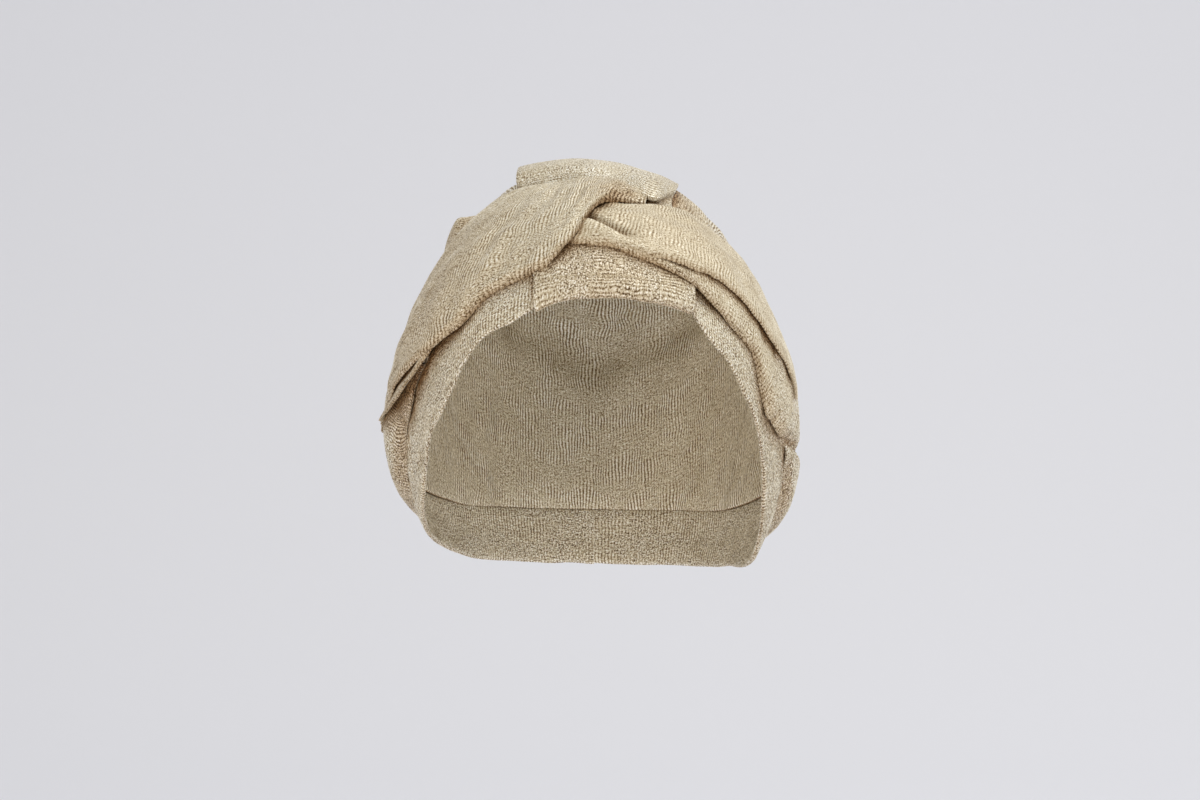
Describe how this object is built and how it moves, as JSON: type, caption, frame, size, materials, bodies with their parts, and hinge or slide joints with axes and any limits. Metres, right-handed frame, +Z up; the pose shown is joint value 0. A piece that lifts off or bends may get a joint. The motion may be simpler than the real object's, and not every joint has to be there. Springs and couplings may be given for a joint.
{
  "type": "twist-front knit head wrap",
  "caption": "Soft turban-style head wrap of glittering knit: two pleated drapes cross in a twist above the brow, over a folded brow band, a centre loop and a puffed crown.",
  "frame": {"origin": "the seat on top of the head, where the highest point of the head comes inside the crown", "axes": "+Z up, the brow and its twist face -Y, +X is the side of the under drape; -Z is the way the head leaves"},
  "size_m": [0.1843, 0.1975, 0.1829],
  "materials": {
    "glitter_knit": "beige and pale gold knit with metallic yarn, finely ribbed"
  },
  "bodies": {
    "root": {"crown": "glitter_knit", "brow_band": "glitter_knit", "centre_loop": "glitter_knit", "over_drape": "glitter_knit", "under_drape": "glitter_knit"}
  },
  "joints": []
}
